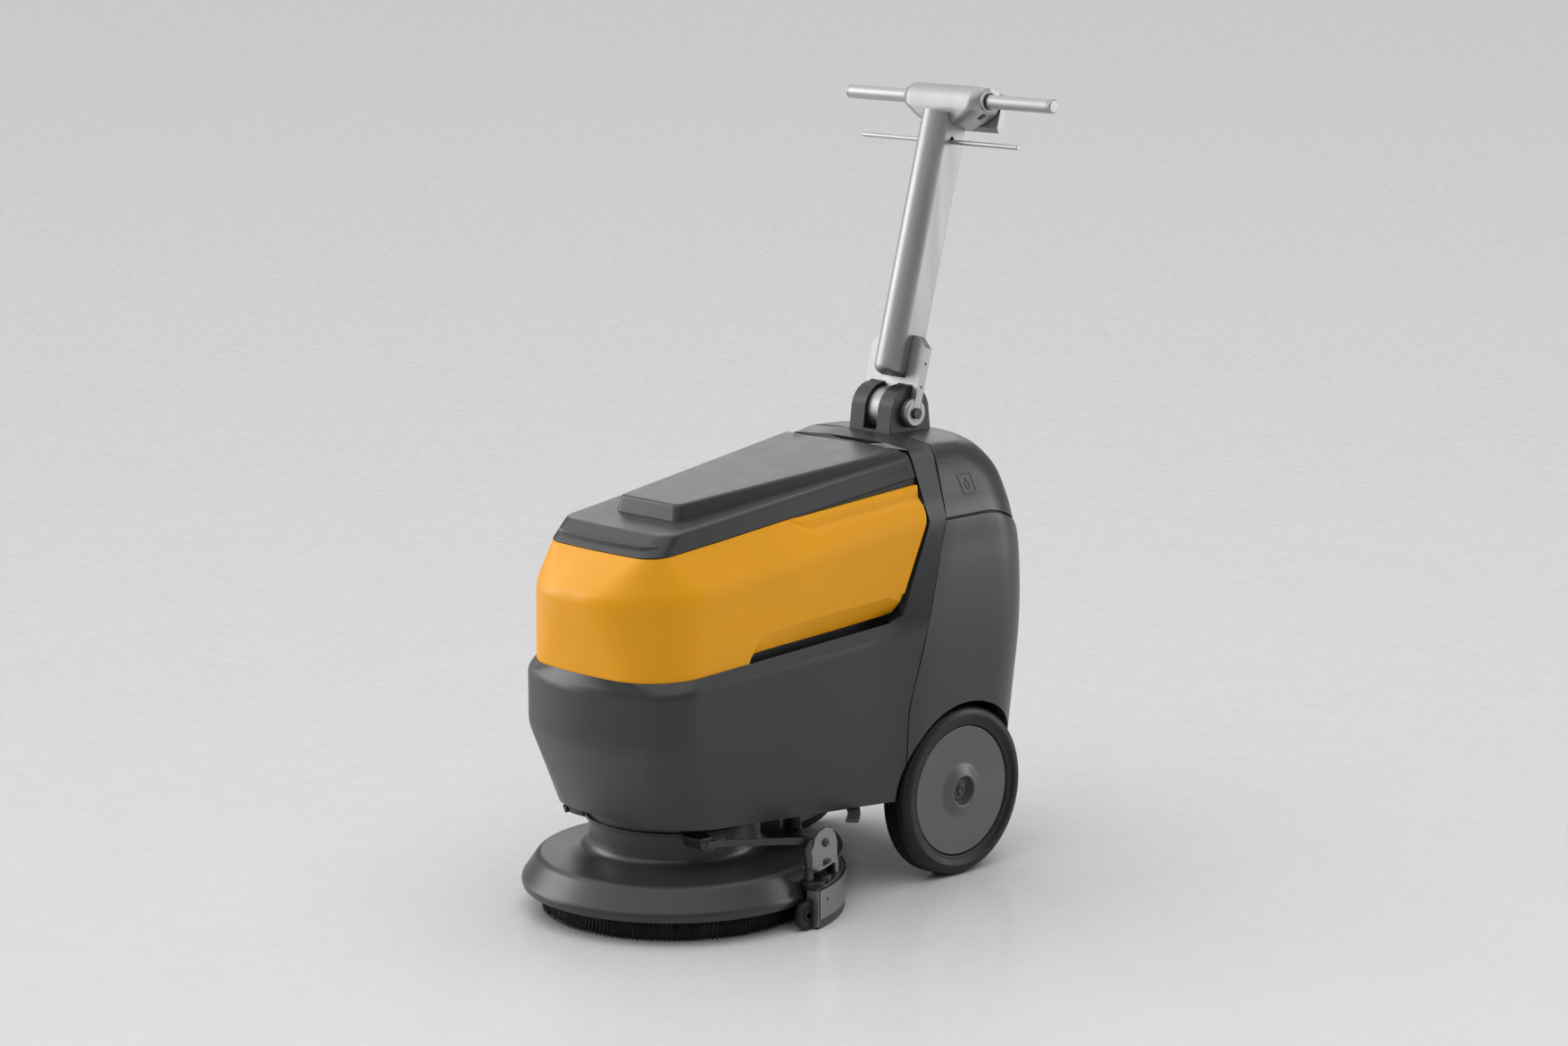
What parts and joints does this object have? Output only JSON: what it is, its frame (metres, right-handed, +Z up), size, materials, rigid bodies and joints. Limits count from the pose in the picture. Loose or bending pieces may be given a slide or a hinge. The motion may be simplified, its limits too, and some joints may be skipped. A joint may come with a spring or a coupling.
{
  "type": "floor scrubber machine",
  "caption": "Walk-behind floor scrubber: round brush deck, curved squeegee, lift-off orange recovery tank with hinged lid, rear wheels and a tilting T-bar handle.",
  "frame": {"origin": "centre of the scrubbing brush's face, on the floor", "axes": "+Z up, the machine's front faces -Y, its left side is +X"},
  "size_m": [0.416, 0.7168, 0.9869],
  "materials": {
    "grey_shell": "fine-grained moulded plastic, dark grey",
    "dark_plastic": "moulded plastic, near black",
    "orange_tank": "satin orange plastic",
    "black_rubber": "black rubber",
    "wheel_grey": "satin mid-grey plastic",
    "cast_aluminium": "satin aluminium",
    "steel": "bare sheet steel",
    "bristle": "black nylon bristles",
    "battery_case": "plastic battery case",
    "board_green": "circuit board",
    "blade_rubber": "reddish-brown blade rubber"
  },
  "bodies": {
    "machine": {"hull_shell": "grey_shell", "rear_cover": "grey_shell", "rear_top_cap": "grey_shell", "handle_bracket": "dark_plastic", "pivot_pin": "steel", "deck_hood": "grey_shell", "motor_plate": "steel", "brush_gearmotor": "cast_aluminium", "chassis_plate": "steel", "battery_pack": "battery_case", "component_shelf": "steel", "suction_motor": "dark_plastic", "control_board": "board_green", "solution_pump": "dark_plastic", "solution_hose": "black_rubber", "wheel_axle": "steel", "axle_bracket_left": "steel", "axle_bracket_right": "steel", "axle_screw_left": "dark_plastic", "axle_screw_right": "dark_plastic", "filler_cap": "dark_plastic", "catch_plate_left": "dark_plastic", "catch_plate_right": "dark_plastic"},
    "brush": {"brush_bristles": "bristle", "brush_plate": "dark_plastic", "drive_hub": "cast_aluminium"},
    "wheel_left": {"tyre_left": "black_rubber", "wheel_disc_left": "wheel_grey"},
    "wheel_right": {"tyre_right": "black_rubber", "wheel_disc_right": "wheel_grey"},
    "handle": {"handle_column": "cast_aluminium", "handle_yoke": "cast_aluminium", "pivot_hub_left": "cast_aluminium", "pivot_hub_right": "cast_aluminium", "handle_head": "cast_aluminium", "handle_bar": "cast_aluminium", "bar_cap_left": "cast_aluminium", "bar_cap_right": "cast_aluminium", "control_panel": "dark_plastic"},
    "button": {"power_button": "orange_tank"},
    "trigger": {"trigger_bar": "steel"},
    "tank": {"recovery_tank": "orange_tank", "float_cage": "dark_plastic"},
    "lid": {"lid_shell": "grey_shell", "lid_seal": "black_rubber"},
    "squeegee_ring": {"squeegee_swivel": "dark_plastic"},
    "squeegee": {"squeegee_arm_left": "steel", "squeegee_arm_right": "steel", "squeegee_carrier_left": "steel", "squeegee_carrier_right": "steel", "squeegee_body": "cast_aluminium", "squeegee_blade_front": "blade_rubber", "squeegee_blade_rear": "blade_rubber", "blade_clamp": "steel", "suction_nozzle": "dark_plastic"},
    "end_wheel_left": {"end_wheel_left": "black_rubber"},
    "end_wheel_right": {"end_wheel_right": "black_rubber"},
    "bumper_left": {"bumper_left": "black_rubber"},
    "bumper_right": {"bumper_right": "black_rubber"}
  },
  "joints": [
    {"name": "brush_spin", "type": "hinge", "parent": "machine", "child": "brush", "pos_m": [0, 0, 0], "axis": [0, 0, 1], "continuous": true},
    {"name": "wheel_left_roll", "type": "hinge", "parent": "machine", "child": "wheel_left", "pos_m": [0, 0.347, 0.11], "axis": [1, 0, 0], "continuous": true},
    {"name": "wheel_right_roll", "type": "hinge", "parent": "machine", "child": "wheel_right", "pos_m": [0, 0.347, 0.11], "axis": [1, 0, 0], "continuous": true},
    {"name": "handle_fold", "type": "hinge", "parent": "machine", "child": "handle", "pos_m": [0, 0.38, 0.577], "axis": [1, 0, 0], "range_deg": [-20, 30]},
    {"name": "button_press", "type": "slide", "parent": "handle", "child": "button", "axis": [0, -0.9646, 0.2639], "range_m": [0, 0.002], "stiffness_N_per_m": 300},
    {"name": "trigger_squeeze", "type": "slide", "parent": "handle", "child": "trigger", "axis": [0, 0.2639, 0.9646], "range_m": [0, 0.006], "stiffness_N_per_m": 600},
    {"name": "tank_lift", "type": "slide", "parent": "machine", "child": "tank", "axis": [0, 0, 1], "range_m": [0, 0.12]},
    {"name": "lid_open", "type": "hinge", "parent": "tank", "child": "lid", "pos_m": [0, 0.309, 0.541], "axis": [-1, 0, 0], "range_deg": [0, 75]},
    {"name": "squeegee_swing", "type": "hinge", "parent": "machine", "child": "squeegee_ring", "pos_m": [0, 0, 0.111], "axis": [0, 0, 1], "range_deg": [-12, 12]},
    {"name": "squeegee_lift", "type": "hinge", "parent": "squeegee_ring", "child": "squeegee", "pos_m": [0, -0.062, 0.111], "axis": [1, 0, 0], "range_deg": [0, 4]},
    {"name": "end_wheel_left_roll", "type": "hinge", "parent": "squeegee", "child": "end_wheel_left", "pos_m": [0.196, 0.035, 0.019], "axis": [1, 0, 0], "continuous": true},
    {"name": "bumper_left_spin", "type": "hinge", "parent": "squeegee", "child": "bumper_left", "pos_m": [0.1925, 0.049, 0.055], "axis": [0, 0, 1], "continuous": true},
    {"name": "end_wheel_right_roll", "type": "hinge", "parent": "squeegee", "child": "end_wheel_right", "pos_m": [-0.196, 0.035, 0.019], "axis": [1, 0, 0], "continuous": true},
    {"name": "bumper_right_spin", "type": "hinge", "parent": "squeegee", "child": "bumper_right", "pos_m": [-0.1925, 0.049, 0.055], "axis": [0, 0, 1], "continuous": true}
  ]
}
